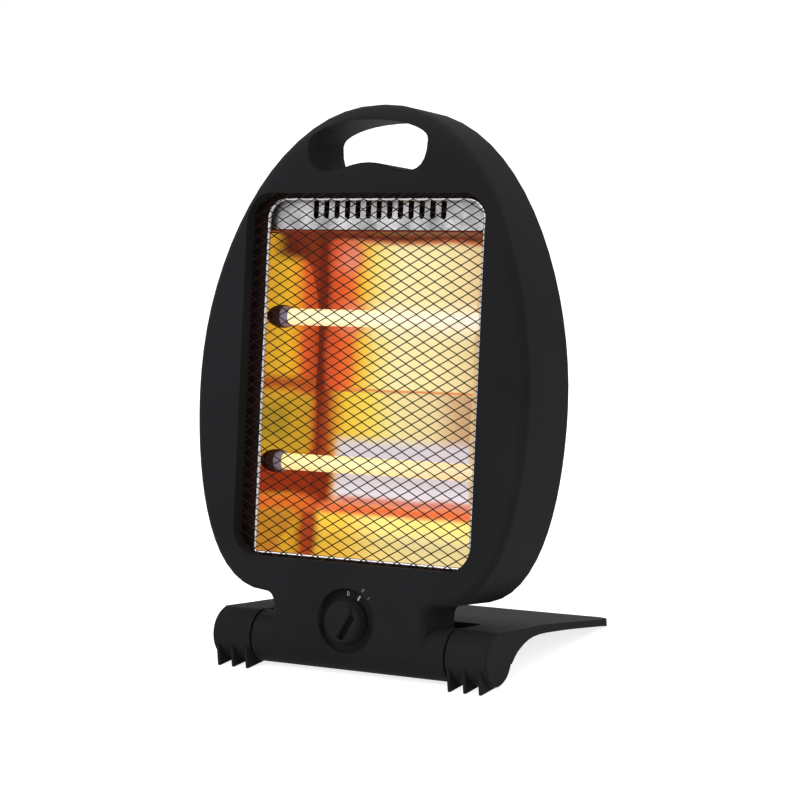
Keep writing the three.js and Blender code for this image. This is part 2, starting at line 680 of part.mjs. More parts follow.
// Spring-steel bracket behind each pair of caps, standing inside the tray's side wall.
function lampBracket(side) {
  const [x0, x1] = span(side, capOuter + seat, capOuter + seat + sheet);
  const [low, high] = [lampHeights.lower - 12, lampHeights.upper + 12];
  const plate = block(x0, x1, lampAxisY - 6, lampAxisY + 10, low, high);
  const relief = block(x0 - 1, x1 + 1, lampAxisY - 7, lampAxisY + 2,
    lampHeights.lower + 14, lampHeights.upper - 14);
  return carved(plate, [relief]);
}

// A coiled wire on one unbroken path, with straight ends that reach the caps.
function filament(z) {
  const [steps, sides, straight] = [8, 5, 4];
  const end = lampHalfLength - seat;
  const coilEnd = end - straight;
  const path = [new THREE.Vector3(-end, 0, coilRadius)];
  const count = coilTurns * steps;
  for (let i = 0; i <= count; i++) {
    const turn = i / steps * 2 * Math.PI;
    const x = -coilEnd + 2 * coilEnd * i / count;
    path.push(new THREE.Vector3(x, coilRadius * Math.sin(turn), coilRadius * Math.cos(turn)));
  }
  path.push(new THREE.Vector3(end, 0, coilRadius));
  const rings = path.map((p, i) => {
    const last = path.length - 1;
    const along = path[Math.min(i + 1, last)].clone().sub(path[Math.max(i - 1, 0)]).normalize();
    const radial = i === 0 || i === last ? new THREE.Vector3(0, 0, 1) : new THREE.Vector3(0, p.y, p.z);
    radial.normalize();
    const across = new THREE.Vector3().crossVectors(along, radial).normalize();
    const out = new THREE.Vector3().crossVectors(across, along).normalize();
    return Array.from({ length: sides }, (_, k) => {
      const a = k / sides * 2 * Math.PI;
      const [u, v] = [coilWire * Math.cos(a), coilWire * Math.sin(a)];
      return p.clone().addScaledVector(out, u).addScaledVector(across, v);
    });
  });
  const index = [];
  for (let r = 0; r < rings.length - 1; r++) {
    for (let k = 0; k < sides; k++) {
      const [a, b] = [r * sides + k, r * sides + (k + 1) % sides];
      index.push(a, b, b + sides, a, b + sides, a + sides);
    }
  }
  const last = (rings.length - 1) * sides;
  for (let k = 1; k < sides - 1; k++) index.push(0, k + 1, k, last, last + k, last + k + 1);
  const geometry = new THREE.BufferGeometry();
  const positions = rings.flat().flatMap((p) => [p.x, p.y, p.z]);
  geometry.setAttribute('position', new THREE.Float32BufferAttribute(positions, 3));
  geometry.setIndex(index);
  let least = Infinity;
  for (let i = 1; i < path.length - steps; i++) {
    for (let j = i + steps - 2; j < Math.min(i + 2 * steps, path.length); j++) {
      least = Math.min(least, path[i].distanceTo(path[j]));
    }
  }
  console.log(`filament: ${coilTurns} turns, least gap ${(least - 2 * coilWire).toFixed(2)} mm`);
  return solid(outward(geometry.translate(0, lampAxisY, z)));
}

// ---- Control ----
const dishFloor = frontFace + dialDepth;
const knobBack = dishFloor - 0.4;
const knobBar = { width: 6.8, inset: 2.2, height: 2 };
const shaftGrip = 5.5;
function knob() {
  const face = knobBack - knobHeight;
  const top = face + knobBar.height;
  const profile = [[0, knobBack], [knobRadius, knobBack], [knobRadius, knobBack - 2],
    [knobRadius - 0.9, top + 2.2], [knobRadius - 1.8, top + 0.6], [knobRadius - 3, top], [0, top]];
  const skirt = turnedY(profile, 0, 0, 0, 36);
  const bar = new THREE.Shape();
  const half = knobBar.width / 2;
  const centre = knobRadius - knobBar.inset - half;
  bar.absarc(0, centre, half, 0, Math.PI);
  bar.absarc(0, -centre, half, Math.PI, 2 * Math.PI);
  bar.closePath();
  const grip = slab(bar, face, knobBack - 2, 6);
  const pocket = turnedY(rod(shaftRadius + runningFit, knobBack - shaftGrip, knobBack + 1), 0, 0, 0, 24);
  return carved(joined([skirt, grip]), [pocket]);
}

const shaftLength = 18.6;
function switchShaft() {
  const front = knobBack - shaftGrip + seat;
  return turnedY(rod(shaftRadius, front, front + shaftLength + seat), 0, 0, dialHeight, 24);
}

// Round switch can on a threaded neck, with three tabs behind.
function rotarySwitch() {
  const front = frontFace + 9 + seat;
  const bore = shaftRadius + runningFit;
  const [neck, can, neckEnd, canEnd] = [7, 12.5, front + 3, front + 18.5];
  const shaftRoom = front + 12;
  const profile = [[bore, front], [neck, front], [neck, neckEnd], [can, neckEnd], [can, canEnd - 1.5],
    [can - 1.5, canEnd], [0, canEnd], [0, shaftRoom], [bore, shaftRoom], [bore, front]];
  const housing = turnedY(profile, 0, 0, dialHeight, 24);
  const tabs = [-6, 0, 6].map((x) =>
    block(x - 1.6, x + 1.6, canEnd - 1.5, canEnd + 6, dialHeight + 3, dialHeight + 3.8));
  return joined([housing, ...tabs]);
}

// Three-way terminal block standing on the cover.
function terminalBlock() {
  const place = { x: blockPlace, z: bodyFoot + 8.5 };
  const back = coverFront - seat;
  const [half, high, deep, well] = [blockHalf, 5, 12, 3];
  const body = block(place.x - half, place.x + half, back - deep, back, place.z - high, place.z + high);
  const wells = [-10, 0, 10].map((step) => {
    const x = place.x + step;
    return block(x - well, x + well, back - deep - 1, back - deep / 2, place.z - 3.4, place.z + 3.4);
  });
  return carved(body, wells);
}

// Tip-over switch in a small box with two ears, on the cover.
function tipOverSwitch() {
  const back = coverFront - seat;
  const low = bodyFoot + wall + 0.5;
  const housing = slab(roundedRect(8, low, low + 13, 2), back - 14, back, 4);
  const ears = slab(roundedRect(earHalf, low, low + 3, 1), back - 3, back, 3);
  return joined([housing, ears]).translate(tipSwitchPlace, 0, 0);
}

// Disc thermostat on the tray's right wall.
function thermalCutout() {
  const start = openingHalfWidth + 1.2 + sheet + seat;
  const [flange, disc, height] = [8.5, 7, 8];
  const depth = lampAxisY + 4;
  const can = turnedX([[0, start], [flange, start], [flange, start + 3], [disc, start + 3],
    [disc, start + height], [0, start + height]], 0, depth, seamHeight, 24);
  const tabs = [depth - 4, depth + 4].map((y) =>
    block(start + height - 1, start + height + 5, y - 0.4, y + 0.4, seamHeight - 3, seamHeight + 3));
  return joined([can, ...tabs]);
}

// ---- Stand ----
// Side section: a hub tangent to a plate that falls back to the floor and thins to its tip.
function standPlate() {
  const rear = standReach;
  const top = new THREE.SplineCurve([at(0, hubRadius), at(24, 13.2), at(65, 6.2), at(115, -4.6),
    at(rear, floorLevel + tipThickness)]);
  const under = new THREE.SplineCurve([at(rear - 9, floorLevel), at(rear - 24, floorLevel + 3.7),
    at(86, -3.4), at(48, 2.8), at(27, -0.4), at(hubRadius - 1.5, -7)]);
  const outline = [...top.getPoints(18), at(rear, floorLevel), ...under.getPoints(18), at(0, 0)];
  const plan = new THREE.Shape();
  plan.moveTo(-hubHalfSpan, 0);
  plan.lineTo(-hubInner, 0);
  plan.lineTo(-hubInner, standThroat - 6);
  plan.absarc(-hubInner + 6, standThroat - 6, 6, Math.PI, Math.PI / 2, true);
  plan.lineTo(hubInner - 6, standThroat);
  plan.absarc(hubInner - 6, standThroat - 6, 6, Math.PI / 2, 0, true);
  plan.lineTo(hubInner, 0);
  plan.lineTo(hubHalfSpan, 0);
  plan.lineTo(hubHalfSpan, rear - standCorner);
  plan.absarc(hubHalfSpan - standCorner, rear - standCorner, standCorner, 0, Math.PI / 2);
  plan.quadraticCurveTo(0, rear - 2 * standBow, -hubHalfSpan + standCorner, rear);
  plan.absarc(-hubHalfSpan + standCorner, rear - standCorner, standCorner, Math.PI / 2, Math.PI);
  plan.closePath();
  const section = sideSlab(new THREE.Shape(outline), -hubHalfSpan, hubHalfSpan);
  return section.intersect(planSlab(plan, floorLevel - 1, hubRadius + 1, 6));
}

// Ribbed toe under the front of each hub: a square corner on the round.
function toes(side) {
  const front = -(hubRadius + toeDrop);
  const shape = new THREE.Shape([
    at(front, -4), at(front, floorLevel), at(0, floorLevel), at(0, -hubRadius + 3), at(-9, -4)]);
  return [0, 1, 2].map((i) => {
    const x = side * (hubInner + 2.5 + i * toePitch);
    return sideSlab(shape, x - toeThickness / 2, x + toeThickness / 2);
  });
}

function stand() {
  const hubs = [-1, 1].map((side) => {
    const [x0, x1] = span(side, hubInner, hubHalfSpan);
    const edge = 1.2;
    const profile = side > 0
      ? [[0, x0], [hubRadius, x0], [hubRadius, x1 - edge], [hubRadius - edge, x1], [0, x1]]
      : [[0, x0], [hubRadius - edge, x0], [hubRadius, x0 + edge], [hubRadius, x1], [0, x1]];
    return turnedX(profile, 0, 0, 0, 40);
  });
  const sockets = [-1, 1].map((side) => {
    const [x0, x1] = span(side, hubInner - 1, hubInner + boltGrip);
    return turnedX(rod(boltRadius + runningFit, x0, x1), 0, 0, 0, 24);
  });
  return carved(joined([standPlate(), ...hubs, ...toes(-1), ...toes(1)]), sockets);
}

// Shouldered pivot pin, driven into the hub from inside the base tube, and the washer that sets its drag.
const boltGrip = 16;
function pivotPin(side) {
  const headEnd = tubeHalfLength - tubeEndWall - seat;
  const tip = hubInner + boltGrip - seat;
  const profile = [[0, headEnd - boltHeadLength], [boltHead, headEnd - boltHeadLength], [boltHead, headEnd],
    [boltRadius, headEnd], [boltRadius, tip - 1], [boltRadius - 1, tip], [0, tip]];
  return turnedX(profile.map(([r, h]) => [r, side * h]), 0, 0, 0, 24);
}

function dragWasher(side) {
  const [from, to] = [tubeHalfLength + seat, hubInner - seat];
  const [inner, outer] = [boltRadius + runningFit, tubeRadius - 3.5];
  const profile = [[inner, from], [outer, from], [outer, to], [inner, to], [inner, from]];
  return turnedX(profile.map(([r, h]) => [r, side * h]), 0, 0, 0, 24);
}

// ---- Assembly ----
function part(name, body, material) {
  const mesh = new THREE.Mesh(surface(body), material);
  mesh.name = name;
  return mesh;
}

const standGroup = new THREE.Group();
standGroup.add(part('stand', stand(), blackPlastic()));
for (const [word, side] of [['left', -1], ['right', 1]]) {
  standGroup.add(part(`pivot_pin_${word}`, pivotPin(side), plainSteel()));
  standGroup.add(part(`drag_washer_${word}`, dragWasher(side), softBlack()));
}

const bodyGroup = new THREE.Group();
bodyGroup.rotation.x = -lean;
bodyGroup.add(
  part('front_shell', frontShell(), blackPlastic()),
  part('rear_cover', rearCover(), blackPlastic()),
  part('guard_grille', grilleMesh(), blackWire()),
  part('grille_frame', grilleFrame(), blackWire()),
  part('reflector_upper', trough('upper'), brightSteel()),
  part('reflector_lower', trough('lower'), brightSteel()),
  part('vent_panel', ventPanel(), brightSteel()),
  part('heat_shield', heatShield(), plainSteel()),
  part('rotary_switch', rotarySwitch(), switchPlastic()),
  part('terminal_block', terminalBlock(), switchPlastic()),
  part('tip_over_switch', tipOverSwitch(), softBlack()),
  part('thermal_cutout', thermalCutout(), brassMetal()),
  part('cord_grommet', cordGrommet(), softBlack()),
);
postPlaces.forEach(([x, z], i) => {
  bodyGroup.add(part(`cover_screw_${i + 1}`, coverScrew(x, z), plainSteel()));
});
for (const [word, side] of [['left', -1], ['right', 1]]) {
  bodyGroup.add(part(`reflector_end_${word}`, reflectorEnd(side), brightSteel()));
  bodyGroup.add(part(`lamp_bracket_${word}`, lampBracket(side), plainSteel()));
  for (const [level, z] of Object.entries(lampHeights)) {
    bodyGroup.add(part(`${level}_lamp_cap_${word}`, lampCap(side, z), ceramic()));
  }
}
for (const [level, z] of Object.entries(lampHeights)) {
  bodyGroup.add(part(`${level}_quartz_tube`, quartzTube(z), quartz()));
  bodyGroup.add(part(`${level}_filament`, filament(z), coilAlloy()));
}
const control = new THREE.Group();
control.position.z = dialHeight;
control.rotation.y = THREE.MathUtils.degToRad(30);
control.add(part('control_knob', knob(), blackPlastic()));
bodyGroup.add(control, part('switch_shaft', switchShaft(), plainSteel()));

// The hinge axis stands above the floor by the hub and its toes; the whole is centred on its own footprint.
const heater = new THREE.Group();
heater.add(standGroup, bodyGroup);
heater.position.z = -floorLevel;
heater.updateMatrixWorld(true);
const extent = new THREE.Box3().setFromObject(heater, true);
heater.position.y = -(extent.min.y + extent.max.y) / 2;
console.log(`hinge axis at y ${heater.position.y.toFixed(3)}, z ${heater.position.z.toFixed(3)}`);

export default heater;
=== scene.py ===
import json
import math

import bpy
from mathutils import Matrix, Vector

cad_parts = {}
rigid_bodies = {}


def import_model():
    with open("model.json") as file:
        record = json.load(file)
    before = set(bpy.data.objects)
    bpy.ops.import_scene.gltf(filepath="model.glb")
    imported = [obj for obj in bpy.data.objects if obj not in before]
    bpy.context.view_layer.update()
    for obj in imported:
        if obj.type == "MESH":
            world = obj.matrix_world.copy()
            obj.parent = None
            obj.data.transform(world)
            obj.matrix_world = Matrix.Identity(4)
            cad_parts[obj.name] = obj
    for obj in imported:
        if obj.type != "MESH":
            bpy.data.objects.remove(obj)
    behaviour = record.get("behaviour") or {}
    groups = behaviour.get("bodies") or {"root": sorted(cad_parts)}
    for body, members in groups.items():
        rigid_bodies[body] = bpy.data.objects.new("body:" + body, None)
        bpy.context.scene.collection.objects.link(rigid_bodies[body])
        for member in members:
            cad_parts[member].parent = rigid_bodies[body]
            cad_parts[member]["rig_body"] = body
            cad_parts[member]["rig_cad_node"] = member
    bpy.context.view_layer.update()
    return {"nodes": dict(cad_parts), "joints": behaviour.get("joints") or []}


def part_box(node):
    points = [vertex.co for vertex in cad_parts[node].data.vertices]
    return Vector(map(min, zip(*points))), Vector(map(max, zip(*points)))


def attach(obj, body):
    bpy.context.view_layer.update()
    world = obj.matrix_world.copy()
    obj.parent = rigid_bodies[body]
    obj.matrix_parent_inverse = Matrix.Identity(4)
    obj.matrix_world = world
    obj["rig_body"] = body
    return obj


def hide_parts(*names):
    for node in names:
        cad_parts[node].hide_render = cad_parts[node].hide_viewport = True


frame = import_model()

scene = bpy.context.scene
nodes_of = frame["nodes"]

# ---------------------------------------------------------------------------
# Camera, light and floor. A long lens a little above the heater and to its
# right, a white surround and a pale floor that keeps the shadow of the stand.
# ---------------------------------------------------------------------------
azimuth, pitch, roll = (math.radians(a) for a in (31.1011, 9.86, -3.1199))
focal_px, picture_px, sensor_mm = 2447.3351, 800, 36
camera_place = (0.8195267, -1.3599882, 0.4424848)
right = Vector((math.cos(azimuth), math.sin(azimuth), 0))
ahead = Vector((
    -math.sin(azimuth) * math.cos(pitch),
    math.cos(azimuth) * math.cos(pitch),
    -math.sin(pitch),
))
above = right.cross(ahead)
right, above = (
    right * math.cos(roll) + above * math.sin(roll),
    above * math.cos(roll) - right * math.sin(roll),
)
camera = bpy.data.objects.new("camera", bpy.data.cameras.new("camera"))
scene.collection.objects.link(camera)
camera.data.lens = focal_px * sensor_mm / picture_px
camera.data.clip_start, camera.data.clip_end = 0.05, 20
camera_axes = Matrix((right, above, -ahead)).transposed().to_4x4()
camera.matrix_world = Matrix.Translation(camera_place) @ camera_axes
scene.camera = camera
scene.view_settings.view_transform = "Standard"

# Plain light on the object, white where the surround itself is seen or mirrored.
surround = bpy.data.worlds.new("surround")
scene.world = surround
surround.use_nodes = True
sky = surround.node_tree
sky.nodes.clear()
path = sky.nodes.new("ShaderNodeLightPath")
seen = sky.nodes.new("ShaderNodeMath")
seen.operation = "MAXIMUM"
through = sky.nodes.new("ShaderNodeMath")
through.operation = "MAXIMUM"
sky.links.new(path.outputs["Is Camera Ray"], seen.inputs[0])
sky.links.new(path.outputs["Is Glossy Ray"], seen.inputs[1])
sky.links.new(seen.outputs[0], through.inputs[0])
sky.links.new(path.outputs["Is Transmission Ray"], through.inputs[1])
lit, shown = sky.nodes.new("ShaderNodeBackground"), sky.nodes.new("ShaderNodeBackground")
lit.inputs["Color"].default_value = (0.94, 0.96, 1.0, 1)
lit.inputs["Strength"].default_value = 0.55
shown.inputs["Color"].default_value = (1, 1, 1, 1)
shown.inputs["Strength"].default_value = 1.0
both, sky_out = sky.nodes.new("ShaderNodeMixShader"), sky.nodes.new("ShaderNodeOutputWorld")
sky.links.new(through.outputs[0], both.inputs[0])
sky.links.new(lit.outputs[0], both.inputs[1])
sky.links.new(shown.outputs[0], both.inputs[2])
sky.links.new(both.outputs[0], sky_out.inputs[0])


def softbox(name, place, aim, size, power):
    """Rectangular lamp of size metres and power watts, turned towards aim."""
    lamp = bpy.data.objects.new(name, bpy.data.lights.new(name, "AREA"))
    scene.collection.objects.link(lamp)
    lamp.data.shape = "RECTANGLE"
    lamp.data.size, lamp.data.size_y = size
    lamp.data.energy = power
    lamp.location = place
    lamp.rotation_euler = (Vector(aim) - Vector(place)).to_track_quat("-Z", "Y").to_euler()


body_middle = (0, 0, 0.18)
softbox("key_light", (-0.9, -1.5, 1.5), body_middle, (1.2, 1.2), 16)
softbox("side_light", (1.7, -0.2, 0.9), body_middle, (0.7, 1.3), 2.9)
softbox("top_light", (0.1, 0.5, 1.7), (0, 0, 0.15), (1.2, 0.8), 5.5)

floor_size, floor_drop, floor_glow = 9, 0.0002, 0.8
bpy.ops.object.select_all(action="DESELECT")
bpy.ops.mesh.primitive_plane_add(size=floor_size, location=(0, 2, -floor_drop))
floor = bpy.context.object
floor.name = "studio_floor"
pale = bpy.data.materials.new("pale_floor")
pale.use_nodes = True
tree = pale.node_tree
tree.nodes.clear()
path = tree.nodes.new("ShaderNodeLightPath")
matt, glow = tree.nodes.new("ShaderNodeBsdfDiffuse"), tree.nodes.new("ShaderNodeEmission")
matt.inputs["Color"].default_value = (0.82, 0.82, 0.82, 1)
seen = tree.nodes.new("ShaderNodeMath")
seen.operation = "MAXIMUM"
tree.links.new(path.outputs["Is Camera Ray"], seen.inputs[0])
tree.links.new(path.outputs["Is Glossy Ray"], seen.inputs[1])
level = tree.nodes.new("ShaderNodeMath")
level.operation = "MULTIPLY"
level.inputs[1].default_value = floor_glow
tree.links.new(seen.outputs[0], level.inputs[0])
tree.links.new(level.outputs[0], glow.inputs["Strength"])
total, out = tree.nodes.new("ShaderNodeAddShader"), tree.nodes.new("ShaderNodeOutputMaterial")
tree.links.new(matt.outputs[0], total.inputs[0])
tree.links.new(glow.outputs[0], total.inputs[1])
tree.links.new(total.outputs[0], out.inputs[0])
floor.data.materials.append(pale)

# ---------------------------------------------------------------------------
# Stand. One black moulding: two hubs with ribbed toes and a plate that falls
# to the floor behind. Fine spark-eroded texture; the body's tube turns in it.
# ---------------------------------------------------------------------------
hinge = next(j for j in frame["joints"] if j["name"] == "body_tilt")
lean = math.radians(11)
body_place = Matrix.Translation(Vector(hinge["pos_m"])) @ Matrix.Rotation(-lean, 4, "X")
same_point, same_plane, sharp_edge = 0.000004, math.radians(0.4), math.radians(50)


def body_coordinates(tree):
    """X across, Y back and Z up along the leaning body, in metres, from the hinge axis."""
    place = tree.nodes.new("ShaderNodeTexCoord")
    turn = tree.nodes.new("ShaderNodeMapping")
    back = body_place.inverted()
    turn.inputs["Location"].default_value = back.translation
    turn.inputs["Rotation"].default_value = (lean, 0, 0)
    split = tree.nodes.new("ShaderNodeSeparateXYZ")
    tree.links.new(place.outputs["Object"], turn.inputs["Vector"])
    tree.links.new(turn.outputs[0], split.inputs[0])
    return turn.outputs[0], split.outputs


def moulded_plastic(name, colour, roughness, grain=1500, depth=0.00012, specular=0.3):
    """Black ABS with a spark-eroded grain: tiny bumps and a slow change of sheen."""
    made = bpy.data.materials.new(name)
    made.use_nodes = True
    tree = made.node_tree
    skin = tree.nodes["Principled BSDF"]
    skin.inputs["Specular IOR Level"].default_value = specular
    place = tree.nodes.new("ShaderNodeTexCoord")
    fine, slow = tree.nodes.new("ShaderNodeTexNoise"), tree.nodes.new("ShaderNodeTexNoise")
    fine.inputs["Scale"].default_value, fine.inputs["Detail"].default_value = grain, 2
    slow.inputs["Scale"].default_value, slow.inputs["Detail"].default_value = 14, 4
    tone = tree.nodes.new("ShaderNodeValToRGB")
    tone.color_ramp.elements[0].position, tone.color_ramp.elements[1].position = 0.35, 0.7
    tone.color_ramp.elements[0].color = (*(c * 0.86 for c in colour), 1)
    tone.color_ramp.elements[1].color = (*(c * 1.12 for c in colour), 1)
    sheen = tree.nodes.new("ShaderNodeMapRange")
    sheen.inputs["To Min"].default_value = roughness - 0.05
    sheen.inputs["To Max"].default_value = roughness + 0.07
    bump = tree.nodes.new("ShaderNodeBump")
    bump.inputs["Strength"].default_value, bump.inputs["Distance"].default_value = 0.35, depth
    for texture in (fine, slow):
        tree.links.new(place.outputs["Object"], texture.inputs["Vector"])
    tree.links.new(slow.outputs["Fac"], tone.inputs[0])
    tree.links.new(slow.outputs["Fac"], sheen.inputs["Value"])
    tree.links.new(fine.outputs["Fac"], bump.inputs["Height"])
    tree.links.new(tone.outputs[0], skin.inputs["Base Color"])
    tree.links.new(sheen.outputs[0], skin.inputs["Roughness"])
    tree.links.new(bump.outputs[0], skin.inputs["Normal"])
    return made


def smooth_copy(node, name, body, material, angle=32, edge=0.0):
    """A node's own form: facets merged, edges eased by edge metres, curves shaded smooth.

    Faces that meet at less than angle degrees are shaded as one surface.
    """
    source = nodes_of[node]
    made = source.copy()
    made.data = source.data.copy()
    made.name = name
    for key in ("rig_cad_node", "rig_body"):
        del made[key]
    made.parent = None
    scene.collection.objects.link(made)
    bpy.ops.object.select_all(action="DESELECT")
    made.select_set(True)
    bpy.context.view_layer.objects.active = made
    bpy.ops.object.mode_set(mode="EDIT")
    bpy.ops.mesh.select_all(action="SELECT")
    bpy.ops.mesh.remove_doubles(threshold=same_point)
    bpy.ops.mesh.dissolve_limited(angle_limit=same_plane)
    bpy.ops.object.mode_set(mode="OBJECT")
    if edge:
        ease = made.modifiers.new("eased_edges", "BEVEL")
        ease.width, ease.segments, ease.limit_method = edge, 2, "ANGLE"
        ease.angle_limit = sharp_edge
        ease.harden_normals = False
        bpy.ops.object.modifier_apply(modifier=ease.name)
    bpy.ops.object.shade_smooth_by_angle(angle=math.radians(angle))
    weigh = made.modifiers.new("flat_faces_stay_flat", "WEIGHTED_NORMAL")
    weigh.keep_sharp = True
    weigh.weight = 80
    bpy.ops.object.modifier_apply(modifier=weigh.name)
    made.data.materials.clear()
    made.data.materials.append(material)
    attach(made, body)
    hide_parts(node)
    return made


stand_black = moulded_plastic("stand_black", (0.0188, 0.0188, 0.0198), 0.68, specular=0.04)
smooth_copy("stand", "stand_moulding", "stand", stand_black, edge=0.0004)

# ---------------------------------------------------------------------------
# Hinge hardware. Zinc-plated pins in the hubs and soft black washers that
# show as a dark ring between the base tube and each hub.
# ---------------------------------------------------------------------------
def plated_steel(name, colour, roughness, lines=(900, 40, 900), patchy=0.75):
    """Drawn or rolled metal: fine lines along one way and a mottled plating."""
    made = bpy.data.materials.new(name)
    made.use_nodes = True
    tree = made.node_tree
    skin = tree.nodes["Principled BSDF"]
    skin.inputs["Metallic"].default_value = 1.0
    place, stretch = tree.nodes.new("ShaderNodeTexCoord"), tree.nodes.new("ShaderNodeMapping")
    stretch.inputs["Scale"].default_value = lines
    drawn, cloud = tree.nodes.new("ShaderNodeTexNoise"), tree.nodes.new("ShaderNodeTexNoise")
    drawn.inputs["Scale"].default_value, drawn.inputs["Detail"].default_value = 1.0, 3
    cloud.inputs["Scale"].default_value, cloud.inputs["Detail"].default_value = 60, 4
    tone, sheen = tree.nodes.new("ShaderNodeValToRGB"), tree.nodes.new("ShaderNodeMapRange")
    tone.color_ramp.elements[0].position, tone.color_ramp.elements[1].position = 0.3, 0.75
    tone.color_ramp.elements[0].color = (*(c * patchy for c in colour), 1)
    tone.color_ramp.elements[1].color = (*(min(1, c * 1.1) for c in colour), 1)
    sheen.inputs["To Min"].default_value = roughness * 0.8
    sheen.inputs["To Max"].default_value = roughness * 1.3
    bump = tree.nodes.new("ShaderNodeBump")
    bump.inputs["Strength"].default_value, bump.inputs["Distance"].default_value = 0.15, 0.0001
    tree.links.new(place.outputs["Object"], stretch.inputs["Vector"])
    tree.links.new(stretch.outputs[0], drawn.inputs["Vector"])
    tree.links.new(place.outputs["Object"], cloud.inputs["Vector"])
    tree.links.new(cloud.outputs["Fac"], tone.inputs[0])
    tree.links.new(drawn.outputs["Fac"], sheen.inputs["Value"])
    tree.links.new(drawn.outputs["Fac"], bump.inputs["Height"])
    tree.links.new(tone.outputs[0], skin.inputs["Base Color"])
    tree.links.new(sheen.outputs[0], skin.inputs["Roughness"])
    tree.links.new(bump.outputs[0], skin.inputs["Normal"])
    return made


def finish_nodes(material, *names):
    """CAD nodes that stay as they are and only get a material."""
    for name in names:
        nodes_of[name].data.materials.clear()
        nodes_of[name].data.materials.append(material)


zinc = plated_steel("zinc_plate", (0.46, 0.47, 0.48), 0.36)
soft_black = (0.009, 0.009, 0.009)
rubber = moulded_plastic("soft_rubber", soft_black, 0.8, grain=700, specular=0.05)
finish_nodes(zinc, "pivot_pin_left", "pivot_pin_right", "switch_shaft")
finish_nodes(rubber, "drag_washer_left", "drag_washer_right", "cord_grommet")

# ---------------------------------------------------------------------------
# Body. The black egg-shaped moulding with its handle, neck and base tube, and
# the louvred rear cover of the same plastic, held by six plated screws.
# ---------------------------------------------------------------------------
body_black = moulded_plastic("body_black", (0.0192, 0.0192, 0.0205), 0.68, specular=0.03)
smooth_copy("front_shell", "body_moulding", "heater_body", body_black)
cover_black = moulded_plastic(
    "cover_black", (0.0165, 0.0165, 0.0175), 0.7, grain=1100, depth=0.0002, specular=0.05)
smooth_copy("rear_cover", "cover_moulding", "heater_body", cover_black)
finish_nodes(zinc, *[f"cover_screw_{i}" for i in range(1, 7)])

# ---------------------------------------------------------------------------
# Reflector. Two polished aluminium troughs and two slanted end plates, with the
# lamps' reflections painted on as colour and emission: amber at the ends, painted
# dark red shade in the folds, cream towards the middle and a painted near-white
# reflection right behind a lamp. The painted glow is fixed to the metal.
# ---------------------------------------------------------------------------
def srgb(*channels):
    """Scene colour of screen values 0 to 255."""
    return tuple(
        c / 255 / 12.92 if c <= 10 else ((c / 255 + 0.055) / 1.055) ** 2.4 for c in channels)


trough_back = 0.0322            # how far the troughs reach behind the hinge axis
run = 0.6                       # the painted glow moves this far across for each step forward
wave_across, wave_up = 0.006, 0.003
# Emission strength of the painted lamp reflections on the reflector.
painted_glow_strength = 0.84


